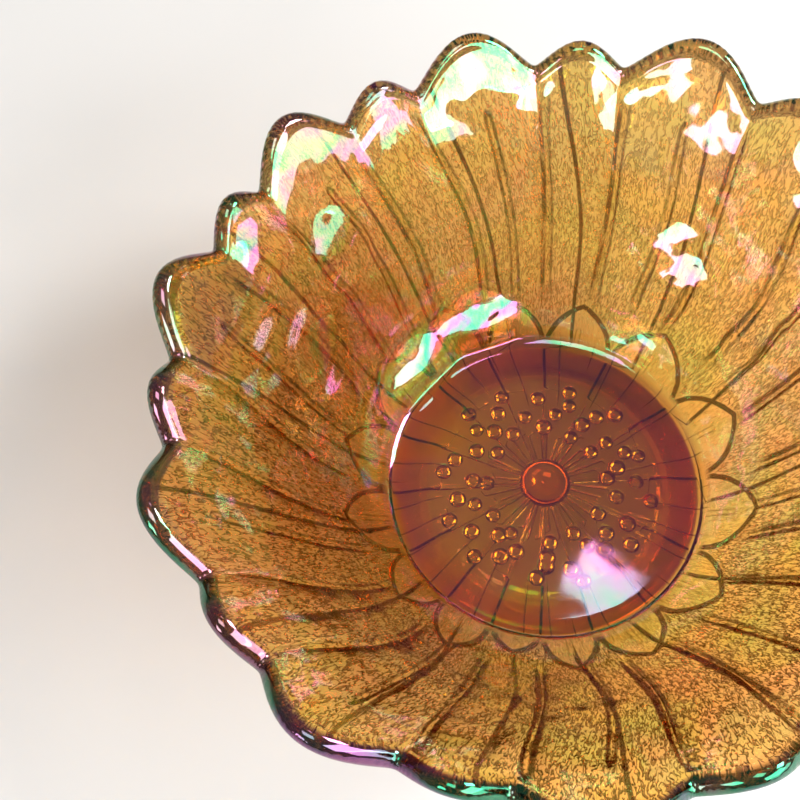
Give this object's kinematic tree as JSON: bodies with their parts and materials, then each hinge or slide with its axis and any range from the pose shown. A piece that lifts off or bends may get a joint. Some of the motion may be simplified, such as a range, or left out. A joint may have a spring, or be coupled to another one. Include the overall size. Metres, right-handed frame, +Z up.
{
  "type": "glass bowl",
  "caption": "Deep ruffled bowl of pressed amber glass, its wall moulded as overlapping flower petals with a scalloped rim, standing on a low foot ring.",
  "frame": {"origin": "on the bowl's axis, in the plane its foot ring stands on", "axes": "+Z up through the open mouth; +X to the right and +Y away, seen from the side the bowl was drawn from"},
  "size_m": [0.2084, 0.2091, 0.1028],
  "materials": {
    "amber_glass": "glossy, iridescent"
  },
  "bodies": {
    "root": {"bowl": "amber_glass"}
  },
  "joints": []
}
